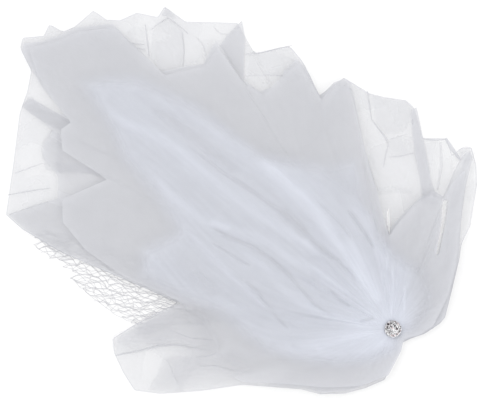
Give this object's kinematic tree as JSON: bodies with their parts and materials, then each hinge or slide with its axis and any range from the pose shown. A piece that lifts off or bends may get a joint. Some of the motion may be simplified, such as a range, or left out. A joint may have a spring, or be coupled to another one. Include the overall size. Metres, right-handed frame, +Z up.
{
  "type": "tulle bridal veil",
  "caption": "Short bridal veil laid flat: tiers of soft tulle and a coarse net gathered into one point over a hair comb, under a round stone-set brooch.",
  "frame": {"origin": "middle of the hair comb's underside, on the surface that the veil lies on, straight below the brooch", "axes": "+Z up from the surface, +X to the short right-hand side of the veil along its longest extent, +Y towards its upper hem"},
  "size_m": [0.7086, 0.5833, 0.0426],
  "materials": {
    "tulle": "sheer matte fine net",
    "net": "matte coarse net",
    "comb": "smooth",
    "setting": "polished cast silver tone",
    "stone": "faceted"
  },
  "bodies": {
    "root": {"hair_comb": "comb", "coarse_net": "net", "lower_tier": "tulle", "middle_tier": "tulle", "inner_tier": "tulle", "upper_tier": "tulle", "brooch_setting": "setting", "stone_centre": "stone", "stone_inner_1": "stone", "stone_inner_2": "stone", "stone_inner_3": "stone", "stone_inner_4": "stone", "stone_inner_5": "stone", "stone_inner_6": "stone", "stone_outer_1": "stone", "stone_outer_2": "stone", "stone_outer_3": "stone", "stone_outer_4": "stone", "stone_outer_5": "stone", "stone_outer_6": "stone", "stone_outer_7": "stone", "stone_outer_8": "stone", "stone_outer_9": "stone", "stone_outer_10": "stone", "stone_outer_11": "stone", "stone_outer_12": "stone"}
  },
  "joints": []
}
